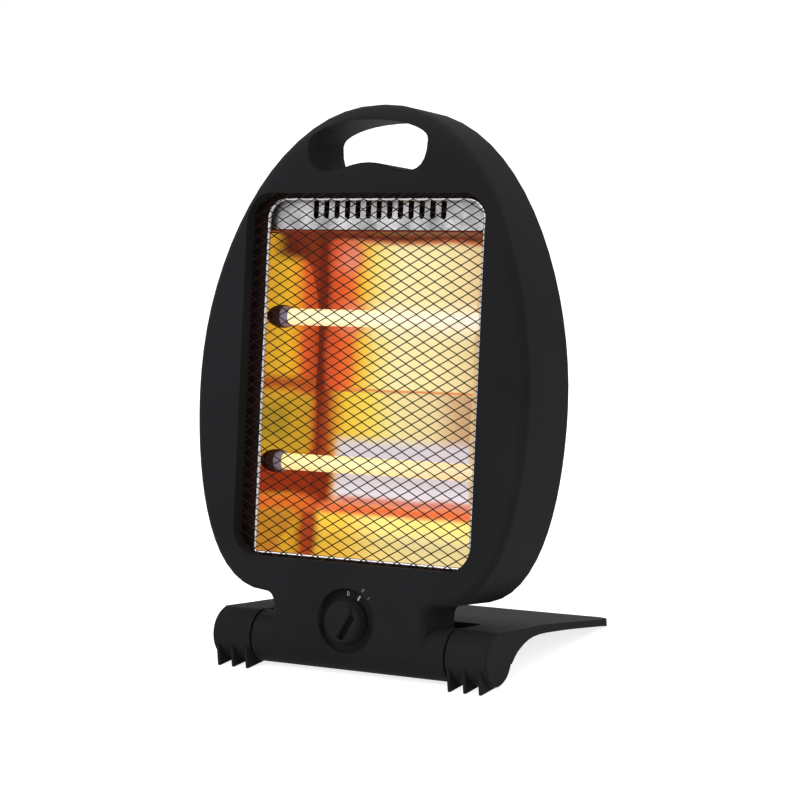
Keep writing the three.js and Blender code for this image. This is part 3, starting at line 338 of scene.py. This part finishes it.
def metal_with_painted_glow(name, across, bands, mirror=0.22):
    """Polished metal with painted reflections and shade of the lamps fixed to it; all places are in
    mm.

    across: (place, colour) from left to right, counted where the troughs are deepest.
    bands: (lowest, highest, softness, from, to, softness, colour), laid over that.
    """
    made = bpy.data.materials.new(name)
    made.use_nodes = True
    tree = made.node_tree
    skin = tree.nodes["Principled BSDF"]
    place, (x, y, z) = body_coordinates(tree)

    def sum_of(first, second, share, offset=0.0):
        step = tree.nodes.new("ShaderNodeMath")
        step.operation = "MULTIPLY_ADD"
        step.inputs[1].default_value = share
        tree.links.new(second, step.inputs[0])
        tree.links.new(first, step.inputs[2])
        shift = tree.nodes.new("ShaderNodeMath")
        shift.operation = "ADD"
        shift.inputs[1].default_value = offset
        tree.links.new(step.outputs[0], shift.inputs[0])
        return shift.outputs[0]

    wavy = tree.nodes.new("ShaderNodeTexNoise")
    wavy.inputs["Scale"].default_value, wavy.inputs["Detail"].default_value = 34, 2
    tree.links.new(place, wavy.inputs["Vector"])
    s = sum_of(x, y, run, -trough_back * run)
    s = sum_of(s, wavy.outputs["Fac"], wave_across, -wave_across / 2)
    v = sum_of(z, wavy.outputs["Fac"], wave_up, -wave_up / 2)
    low, high = across[0][0] / 1000, across[-1][0] / 1000
    reach = tree.nodes.new("ShaderNodeMapRange")
    reach.inputs["From Min"].default_value, reach.inputs["From Max"].default_value = low, high
    tree.links.new(s, reach.inputs["Value"])
    ramp = tree.nodes.new("ShaderNodeValToRGB")
    for i, (at, paint) in enumerate(across):
        t = (at / 1000 - low) / (high - low)
        stops = ramp.color_ramp.elements
        stop = stops[0] if i == 0 else stops.new(min(t, 0.999))
        stop.position = t
        stop.color = (*paint, 1)
    ramp.color_ramp.elements.remove(ramp.color_ramp.elements[-1])
    tree.links.new(reach.outputs[0], ramp.inputs[0])
    colour = ramp.outputs[0]
    for low, high, soft, start, end, soft_across, paint in bands:
        mask = None
        for value, a, b, fade in ((v, low, high, soft), (s, start, end, soft_across)):
            for edge, sign in ((a, 1), (b, -1)):
                side = tree.nodes.new("ShaderNodeMapRange")
                side.interpolation_type = "SMOOTHSTEP"
                side.inputs["From Min"].default_value = (edge - sign * fade) / 1000
                side.inputs["From Max"].default_value = (edge + sign * fade) / 1000
                tree.links.new(value, side.inputs["Value"])
                if mask is None:
                    mask = side.outputs[0]
                    continue
                both = tree.nodes.new("ShaderNodeMath")
                both.operation = "MULTIPLY"
                tree.links.new(mask, both.inputs[0])
                tree.links.new(side.outputs[0], both.inputs[1])
                mask = both.outputs[0]
        lay = tree.nodes.new("ShaderNodeMix")
        lay.data_type = "RGBA"
        lay.inputs[7].default_value = (*paint, 1)
        tree.links.new(mask, lay.inputs[0])
        tree.links.new(colour, lay.inputs[6])
        colour = lay.outputs[2]
    uneven = tree.nodes.new("ShaderNodeTexNoise")
    uneven.inputs["Scale"].default_value, uneven.inputs["Detail"].default_value = 26, 3
    tree.links.new(place, uneven.inputs["Vector"])
    sheen = tree.nodes.new("ShaderNodeMapRange")
    sheen.inputs["To Min"].default_value, sheen.inputs["To Max"].default_value = 0.22, 0.4
    tree.links.new(uneven.outputs["Fac"], sheen.inputs["Value"])
    tree.links.new(sheen.outputs[0], skin.inputs["Roughness"])
    bump = tree.nodes.new("ShaderNodeBump")
    bump.inputs["Strength"].default_value, bump.inputs["Distance"].default_value = 0.2, 0.0006
    tree.links.new(uneven.outputs["Fac"], bump.inputs["Height"])
    tree.links.new(bump.outputs[0], skin.inputs["Normal"])
    # The painted reflection and shade colour, dimmed by mirror, also tints the metal's base colour.
    dim = tree.nodes.new("ShaderNodeMix")
    dim.data_type, dim.blend_type = "RGBA", "MULTIPLY"
    dim.inputs[0].default_value = 1.0
    dim.inputs[7].default_value = (mirror, mirror, mirror, 1)
    tree.links.new(colour, dim.inputs[6])
    tree.links.new(dim.outputs[2], skin.inputs["Base Color"])
    skin.inputs["Metallic"].default_value = 1.0
    # The same painted colour is emitted, so the metal glows though it is no lamp.
    tree.links.new(colour, skin.inputs["Emission Color"])
    skin.inputs["Emission Strength"].default_value = painted_glow_strength
    return made


# Colours of the painted lamp reflections on the reflector; the darkest is painted shade in the
# folds.
painted_fold_shade, ember, brick = srgb(116, 40, 24), srgb(228, 92, 44), srgb(158, 58, 28)
mustard, olive = srgb(222, 170, 44), srgb(170, 136, 38)
cream, straw, pearl = srgb(249, 234, 172), srgb(214, 182, 132), srgb(218, 208, 213)
# Upper trough: painted lamp reflections, painted highlights, and painted shade in its fold and
# along its top.
upper_painted_glow = metal_with_painted_glow(
    "upper_trough_painted_glow",
    [
        (-118, mustard), (-88, srgb(236, 170, 44)), (-80, srgb(236, 146, 42)),
        (-72, srgb(228, 102, 46)), (-66, brick), (-61, painted_fold_shade), (-57, painted_fold_shade),
        (-52, srgb(206, 82, 44)), (-45, ember), (-36, srgb(238, 116, 50)),
        (-27, srgb(245, 192, 64)), (-17, srgb(245, 220, 122)), (0, cream),
        (26, srgb(249, 232, 168)), (48, srgb(240, 216, 160)), (70, straw),
    ],
    [
        (202, 220, 7, -44, -26, 8, srgb(234, 136, 104)),
        (202, 220, 8, -20, 140, 12, srgb(251, 240, 202)),
        (242, 258, 7, -46, -30, 9, srgb(230, 134, 108)),
        (163.5, 165.2, 0.8, -40, 140, 8, srgb(224, 140, 82)),
        (259.6, 300, 1.8, -44, 140, 8, srgb(206, 124, 84)),
        (261.8, 300, 1.6, -140, 140, 8, srgb(100, 42, 28)),
        (246, 300, 6, -90, -64, 8, srgb(116, 46, 28)),
    ],
)
# Lower trough: painted lamp reflections, a pale painted reflection behind its lamp and painted
# shade in its fold.
lower_painted_glow = metal_with_painted_glow(
    "lower_trough_painted_glow",
    [
        (-118, mustard), (-84, mustard), (-70, srgb(206, 150, 40)),
        (-64, srgb(158, 66, 28)), (-59, srgb(130, 48, 24)), (-53, srgb(168, 70, 34)),
        (-45, srgb(226, 156, 50)), (-38, srgb(243, 198, 62)), (-18, srgb(246, 216, 92)),
        (2, srgb(244, 226, 156)), (30, srgb(238, 214, 160)), (46, srgb(212, 172, 128)),
        (70, srgb(180, 146, 114)),
    ],
    [
        (91, 131, 5, -44, 140, 5, pearl),
        (88, 116, 3, -140, -47, 5, srgb(134, 44, 20)),
        (88, 94, 2.5, -44, 140, 8, srgb(202, 122, 104)),
        (40, 84, 3, -57, 140, 5, srgb(240, 190, 66)),
        (40, 84, 3, -24, 140, 20, srgb(246, 218, 124)),
        (40, 72, 6, 0, 140, 26, srgb(238, 220, 158)),
        (40, 84, 3, -70, -60, 5, srgb(170, 68, 32)),
        (82, 89, 2.5, -56, 140, 8, srgb(214, 104, 60)),
        (82, 92, 3, -140, -60, 6, srgb(226, 104, 42)),
        (40, 82, 4, -104, -84, 7, srgb(198, 128, 48)),
        (40, 82, 4, -84, -76, 5, srgb(226, 170, 46)),
    ],
)
# End plates: painted lamp reflections, with painted shade in the folds and along the top.
end_painted_glow = metal_with_painted_glow(
    "end_plate_painted_glow",
    [
        (-112, srgb(190, 140, 60)), (-104, srgb(212, 156, 46)), (-92, mustard),
        (-84, srgb(236, 178, 46)), (-77, srgb(234, 150, 42)), (-72, srgb(226, 98, 44)),
        (-65, srgb(200, 78, 36)), (-60, brick), (-54, painted_fold_shade), (0, painted_fold_shade),
        (40, straw), (120, straw),
    ],
    [
        (118, 160, 4, -140, -64, 5, srgb(200, 154, 42)),
        (130, 152, 6, -140, -82, 6, olive),
        (162, 171, 4, -140, -62, 5, srgb(178, 86, 34)),
        (92, 119, 4, -140, -58, 5, srgb(148, 50, 22)),
        (81, 92, 3, -140, -62, 5, srgb(228, 112, 42)),
        (40, 82, 5, -140, -76, 6, srgb(192, 130, 40)),
        (206, 216, 3, -92, -64, 6, srgb(206, 128, 46)),
        (250, 300, 5, -94, -60, 9, srgb(100, 38, 24)),
    ],
)
# Each reflector sheet is given its painted reflections and shade.
for node, painted_glow_here in (("reflector_upper", upper_painted_glow), ("reflector_lower", lower_painted_glow),
                        ("reflector_end_left", end_painted_glow), ("reflector_end_right", end_painted_glow)):
    smooth_copy(node, f"{node}_sheet", "heater_body", painted_glow_here, angle=40)

# ---------------------------------------------------------------------------
# Vent panel and heat shield. Bright rolled sheet, slotted above the reflector
# so that warm air leaves; the shield is plain zinc-plated sheet.
# ---------------------------------------------------------------------------
silver = plated_steel("bright_sheet", (0.62, 0.62, 0.64), 0.42, lines=(520, 30, 30), patchy=0.4)
finish_nodes(silver, "vent_panel")
finish_nodes(zinc, "heat_shield", "lamp_bracket_left", "lamp_bracket_right")

# ---------------------------------------------------------------------------
# Lamps. Frosted quartz tubes, glowing pale yellow, over a coiled filament. Heat
# has browned the ceramic caps that hold them; a grey-violet nose ends each cap.
# ---------------------------------------------------------------------------
lamp_half_length, lamp_strength = 0.079, 0.73


def lit_quartz(name, left, middle, right_end):
    """Frosted tube whose glow changes from one end to the other."""
    made = bpy.data.materials.new(name)
    made.use_nodes = True
    tree = made.node_tree
    skin = tree.nodes["Principled BSDF"]
    place, (x, _, _) = body_coordinates(tree)
    reach, ramp = tree.nodes.new("ShaderNodeMapRange"), tree.nodes.new("ShaderNodeValToRGB")
    reach.inputs["From Min"].default_value = -lamp_half_length
    reach.inputs["From Max"].default_value = lamp_half_length
    ramp.color_ramp.elements[0].color = (*left, 1)
    ramp.color_ramp.elements[1].color = (*right_end, 1)
    centre = ramp.color_ramp.elements.new(0.4)
    centre.color = (*middle, 1)
    cloudy = tree.nodes.new("ShaderNodeTexNoise")
    cloudy.inputs["Scale"].default_value = 90
    shade = tree.nodes.new("ShaderNodeMapRange")
    shade.inputs["To Min"].default_value, shade.inputs["To Max"].default_value = 0.15, 0.35
    tree.links.new(place, cloudy.inputs["Vector"])
    tree.links.new(cloudy.outputs["Fac"], shade.inputs["Value"])
    tree.links.new(shade.outputs[0], skin.inputs["Roughness"])
    tree.links.new(x, reach.inputs["Value"])
    tree.links.new(reach.outputs[0], ramp.inputs[0])
    tree.links.new(ramp.outputs[0], skin.inputs["Emission Color"])
    tree.links.new(ramp.outputs[0], skin.inputs["Base Color"])
    skin.inputs["Emission Strength"].default_value = lamp_strength
    return made


upper_light = lit_quartz(
    "upper_lamp_light", srgb(248, 232, 176), srgb(249, 236, 192), srgb(236, 222, 204))
lower_light = lit_quartz(
    "lower_lamp_light", srgb(247, 226, 150), srgb(247, 230, 168), srgb(226, 200, 156))
smooth_copy("upper_quartz_tube", "upper_lamp_tube", "heater_body", upper_light, angle=40)
smooth_copy("lower_quartz_tube", "lower_lamp_tube", "heater_body", lower_light, angle=40)
hot_wire = plated_steel("hot_wire", (0.5, 0.18, 0.05), 0.5)
finish_nodes(hot_wire, "upper_filament", "lower_filament")
scorched = moulded_plastic("scorched_ceramic", srgb(66, 34, 30), 0.7, grain=900, depth=0.0002)
for level in ("upper", "lower"):
    finish_nodes(scorched, f"{level}_lamp_cap_left", f"{level}_lamp_cap_right")
ceramic = moulded_plastic(
    "lamp_ceramic", srgb(168, 158, 182), 0.6, grain=900, depth=0.0002, specular=0.4)
nose_start, nose_radius = 0.0772, 0.0068
for level in ("upper", "lower"):
    low_end, high_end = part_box(f"{level}_quartz_tube")
    axis = body_place.inverted() @ ((Vector(low_end) + Vector(high_end)) / 2)
    for side, sign, nose_end in (("left", -1, 0.0708), ("right", 1, 0.0744)):
        bpy.ops.object.select_all(action="DESELECT")
        bpy.ops.mesh.primitive_cylinder_add(
            vertices=40, radius=nose_radius, depth=nose_start - nose_end)
        nose = bpy.context.object
        nose.name = f"{level}_ceramic_nose_{side}"
        bpy.ops.object.mode_set(mode="EDIT")
        bpy.ops.mesh.select_all(action="SELECT")
        bpy.ops.transform.rotate(value=math.radians(90), orient_axis="Y", center_override=(0, 0, 0))
        bpy.ops.transform.translate(value=(sign * (nose_start + nose_end) / 2, axis.y, axis.z))
        bpy.ops.mesh.bevel(offset=0.0011, segments=3, affect="EDGES")
        bpy.ops.object.mode_set(mode="OBJECT")
        bpy.ops.object.shade_smooth_by_angle(angle=math.radians(40))
        nose.data.transform(body_place)
        nose.data.materials.append(ceramic)
        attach(nose, "heater_body")

# ---------------------------------------------------------------------------
# Guard. Expanded steel sheet with flat diamond openings and a dark heat-proof
# coating, clamped at its edges behind the opening by a folded frame, whose
# flange is coated too and whose rounded hem is bare bright steel.
# ---------------------------------------------------------------------------
guard_coat = bpy.data.materials.new("guard_coating")
guard_coat.use_nodes = True
tree = guard_coat.node_tree
skin = tree.nodes["Principled BSDF"]
skin.inputs["Metallic"].default_value = 0.3
skin.inputs["Specular IOR Level"].default_value = 0.25
place = tree.nodes.new("ShaderNodeTexCoord")
scale = tree.nodes.new("ShaderNodeTexNoise")
scale.inputs["Scale"].default_value, scale.inputs["Detail"].default_value = 160, 4
tone = tree.nodes.new("ShaderNodeValToRGB")
tone.color_ramp.elements[0].color = (0.010, 0.006, 0.005, 1)
tone.color_ramp.elements[1].color = (0.035, 0.013, 0.009, 1)
sheen = tree.nodes.new("ShaderNodeMapRange")
sheen.inputs["To Min"].default_value, sheen.inputs["To Max"].default_value = 0.45, 0.7
tree.links.new(place.outputs["Object"], scale.inputs["Vector"])
tree.links.new(scale.outputs["Fac"], tone.inputs[0])
tree.links.new(scale.outputs["Fac"], sheen.inputs["Value"])
tree.links.new(tone.outputs[0], skin.inputs["Base Color"])
tree.links.new(sheen.outputs[0], skin.inputs["Roughness"])
finish_nodes(guard_coat, "grille_frame")

flange_front, flange_back = -0.0034, -0.0026


def cut_plate(name, half, low, high, lower_corner, upper_corner, front, back):
    """Flat sheet with rounded corners, as thick as from front to back."""
    bpy.ops.object.select_all(action="DESELECT")
    bpy.ops.mesh.primitive_plane_add(size=2, location=(0, 0, 0))
    plate = bpy.context.object
    plate.name = name
    bpy.ops.object.mode_set(mode="EDIT")
    bpy.ops.mesh.select_all(action="SELECT")
    bpy.ops.transform.resize(value=(half, (high - low) / 2, 1), center_override=(0, 0, 0))
    for sign, corner in ((-1, lower_corner), (1, upper_corner)):
        bpy.ops.mesh.select_all(action="DESELECT")
        bpy.ops.mesh.select_mode(type="VERT")
        bpy.ops.object.mode_set(mode="OBJECT")
        for v in plate.data.vertices:
            beside = abs(abs(v.co.x) - half) < 1e-6
            v.select = beside and abs(v.co.y - sign * (high - low) / 2) < 1e-6
        bpy.ops.object.mode_set(mode="EDIT")
        bpy.ops.mesh.bevel(offset=corner, segments=7, affect="VERTICES")
    bpy.ops.mesh.select_all(action="SELECT")
    bpy.ops.transform.rotate(value=math.radians(-90), orient_axis="X", center_override=(0, 0, 0))
    bpy.ops.transform.translate(value=(0, front, (low + high) / 2))
    if back > front:
        bpy.ops.mesh.extrude_region_move(TRANSFORM_OT_translate={"value": (0, back - front, 0)})
        bpy.ops.mesh.select_all(action="SELECT")
        bpy.ops.mesh.normals_make_consistent(inside=False)
    bpy.ops.object.mode_set(mode="OBJECT")
    return plate


# Half width, lower and upper edge, lower and upper corner radius.
outline = (0.0916, 0.0504, 0.2928, 0.0202, 0.0245)
rim = (0.0812, 0.0545, 0.2875, 0.0016, 0.0130)
flange = cut_plate("frame_flange", *outline, flange_front, flange_back)
cutter = cut_plate("flange_cutter", *rim, flange_front - 0.01, flange_back + 0.01)
bpy.context.view_layer.objects.active = flange
hole = flange.modifiers.new("hole", "BOOLEAN")
hole.object, hole.operation, hole.solver = cutter, "DIFFERENCE", "EXACT"
bpy.ops.object.modifier_apply(modifier=hole.name)
bpy.data.objects.remove(cutter)
flange.data.transform(body_place)
flange.data.materials.append(guard_coat)
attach(flange, "heater_body")

hem_radius = 0.0013
hem = cut_plate("frame_hem", *rim, flange_front, flange_front)
bpy.ops.object.mode_set(mode="EDIT")
bpy.ops.mesh.select_all(action="SELECT")
bpy.ops.mesh.delete(type="ONLY_FACE")
bpy.ops.object.mode_set(mode="OBJECT")
bpy.ops.object.convert(target="CURVE")
hem.data.bevel_depth, hem.data.bevel_resolution, hem.data.fill_mode = hem_radius, 2, "FULL"
bpy.ops.object.convert(target="MESH")
bpy.ops.object.shade_smooth_by_angle(angle=math.radians(50))
hem.data.transform(body_place)
bare = plated_steel("bare_hem", (0.8, 0.8, 0.83), 0.3, lines=(60, 60, 60))
hem.data.materials.clear()
hem.data.materials.append(bare)
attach(hem, "heater_body")

long_way, short_way = 0.0123, 0.0070
guard_half, guard_low, guard_high = 0.0906, 0.0514, 0.2921
face, collar_depth, guard_gap = -0.0185, 0.0095, 0.0007
guard_depth = face + collar_depth + guard_gap
cells, snip, strand_thickness = 52, 0.0072, 0.0011
bpy.ops.object.select_all(action="DESELECT")
bpy.ops.mesh.primitive_grid_add(
    x_subdivisions=cells, y_subdivisions=cells, size=1, location=(0, 0, 0))
guard = bpy.context.object
guard.name = "expanded_guard"
bpy.ops.object.mode_set(mode="EDIT")
bpy.ops.mesh.select_all(action="SELECT")
bpy.ops.transform.rotate(value=math.radians(45), orient_axis="Z", center_override=(0, 0, 0))
grid_size = (cells * long_way / math.sqrt(2), cells * short_way / math.sqrt(2), 1)
bpy.ops.transform.resize(value=grid_size, center_override=(0, 0, 0))
bpy.ops.transform.rotate(value=math.radians(-90), orient_axis="X", center_override=(0, 0, 0))
bpy.ops.transform.translate(value=(0, guard_depth, (guard_low + guard_high) / 2))
for point, normal in (
    ((guard_half, 0, 0), (1, 0, 0)),
    ((-guard_half, 0, 0), (-1, 0, 0)),
    ((0, 0, guard_high), (0, 0, 1)),
    ((0, 0, guard_low), (0, 0, -1)),
    ((guard_half - snip, 0, guard_high), (1, 0, 1)),
    ((snip - guard_half, 0, guard_high), (-1, 0, 1)),
    ((guard_half - snip, 0, guard_low), (1, 0, -1)),
    ((snip - guard_half, 0, guard_low), (-1, 0, -1)),
):
    bpy.ops.mesh.select_all(action="SELECT")
    bpy.ops.mesh.bisect(plane_co=point, plane_no=normal, clear_outer=True)
bpy.ops.object.mode_set(mode="OBJECT")
strands = guard.modifiers.new("strands", "WIREFRAME")
strands.thickness, strands.use_even_offset = strand_thickness, False
strands.use_replace, strands.use_boundary = True, True
bpy.ops.object.modifier_apply(modifier=strands.name)
guard.data.transform(body_place)
guard.data.materials.append(guard_coat)
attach(guard, "heater_body")
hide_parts("guard_grille")

# ---------------------------------------------------------------------------
# Dial. A black knob on the switch shaft, with a raised grip bar and a scoop for
# the finger beside it, in a round dish. Pale ink marks round it: off, a tick
# and the two heat settings.
# ---------------------------------------------------------------------------
knob_black = moulded_plastic("knob_black", (0.0175, 0.0175, 0.0186), 0.62, specular=0.05)
knob = smooth_copy("control_knob", "dial_knob", "control", knob_black, edge=0.0004)
dial_height, rest_turn, smooth_under = 0.0165, math.radians(30), math.radians(32)
dial_turned = Matrix.Translation((0, 0, dial_height)) @ Matrix.Rotation(rest_turn, 4, "Y")
scoop_size, scoop_middle = (0.0042, 0.0080, 0.0180), (0.0053, -0.0236, -0.0012)
bpy.ops.object.select_all(action="DESELECT")
bpy.ops.mesh.primitive_cube_add(size=1, location=(0, 0, 0))
scoop = bpy.context.object
bpy.ops.object.mode_set(mode="EDIT")
bpy.ops.mesh.select_all(action="SELECT")
bpy.ops.transform.resize(value=scoop_size)
bpy.ops.transform.translate(value=scoop_middle)
bpy.ops.mesh.bevel(offset=0.0017, segments=5, affect="EDGES")
bpy.ops.object.mode_set(mode="OBJECT")
scoop.data.transform(body_place @ dial_turned)
bpy.ops.object.select_all(action="DESELECT")
knob.select_set(True)
bpy.context.view_layer.objects.active = knob
finger = knob.modifiers.new("finger_recess", "BOOLEAN")
finger.object, finger.operation, finger.solver = scoop, "DIFFERENCE", "EXACT"
bpy.ops.object.modifier_apply(modifier=finger.name)
bpy.data.objects.remove(scoop)
bpy.ops.object.shade_smooth_by_angle(angle=smooth_under)

ink = bpy.data.materials.new("pale_ink")
ink.use_nodes = True
tree = ink.node_tree
skin = tree.nodes["Principled BSDF"]
place, speckle = tree.nodes.new("ShaderNodeTexCoord"), tree.nodes.new("ShaderNodeTexNoise")
speckle.inputs["Scale"].default_value = 2500
tone = tree.nodes.new("ShaderNodeValToRGB")
tone.color_ramp.elements[0].color = (0.46, 0.46, 0.46, 1)
tone.color_ramp.elements[1].color = (0.78, 0.78, 0.78, 1)
tree.links.new(place.outputs["Object"], speckle.inputs["Vector"])
tree.links.new(speckle.outputs["Fac"], tone.inputs[0])
tree.links.new(tone.outputs[0], skin.inputs["Base Color"])
skin.inputs["Roughness"].default_value = 0.7
dish_depth, ink_thickness = 0.005, 0.00005
dish_floor = face + dish_depth
for name, text, (across, up), turn, height, depth in (
    ("mark_off", "0", (-0.0012, 0.0337), -4, 0.0041, dish_floor),
    ("mark_two", "II", (0.0126, 0.0369), 32, 0.0034, face),
    ("mark_one", "I", (0.0171, 0.0323), 47, 0.0034, face),
):
    bpy.ops.object.select_all(action="DESELECT")
    bpy.ops.object.text_add(location=(0, 0, 0))
    mark = bpy.context.object
    mark.name = name
    mark.data.body, mark.data.size = text, height
    mark.data.align_x, mark.data.align_y = "CENTER", "CENTER"
    mark.data.extrude = 0.00006
    if text != "0":
        mark.data.offset = -0.0001
    bpy.ops.object.convert(target="MESH")
    spot = Vector((across, depth - ink_thickness, up))
    tip = Matrix.Rotation(math.radians(turn), 4, "Y")
    upright = Matrix.Rotation(math.radians(90), 4, "X")
    mark.data.transform(body_place @ Matrix.Translation(spot) @ tip @ upright)
    mark.matrix_world = Matrix.Identity(4)
    mark.data.materials.append(ink)
    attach(mark, "heater_body")

bpy.ops.object.select_all(action="DESELECT")
bpy.ops.mesh.primitive_cube_add(size=1, location=(0, 0, 0))
tick = bpy.context.object
tick.name = "pointer_tick"
bpy.ops.object.mode_set(mode="EDIT")
bpy.ops.mesh.select_all(action="SELECT")
bpy.ops.transform.resize(value=(0.0012, 0.0001, 0.0036))
bpy.ops.mesh.bevel(offset=0.0003, segments=2, affect="EDGES")
bpy.ops.object.mode_set(mode="OBJECT")
tick_turn = math.radians(33)
spot = Vector((0.0070, dish_floor - ink_thickness, 0.0314))
tick.data.transform(body_place @ Matrix.Translation(spot) @ Matrix.Rotation(tick_turn, 4, "Y"))
tick.data.materials.append(ink)
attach(tick, "heater_body")

# ---------------------------------------------------------------------------
# Wiring parts behind the dial and on the rear cover: pale moulded switch and
# terminal block, black tip-over switch; a brass cut-out on the heat shield.
# ---------------------------------------------------------------------------
pale_plastic = moulded_plastic("pale_moulding", (0.6, 0.57, 0.49), 0.5, grain=500)
finish_nodes(pale_plastic, "rotary_switch", "terminal_block")
finish_nodes(rubber, "tip_over_switch")
brass = plated_steel("plain_brass", (0.62, 0.45, 0.16), 0.32)
finish_nodes(brass, "thermal_cutout")
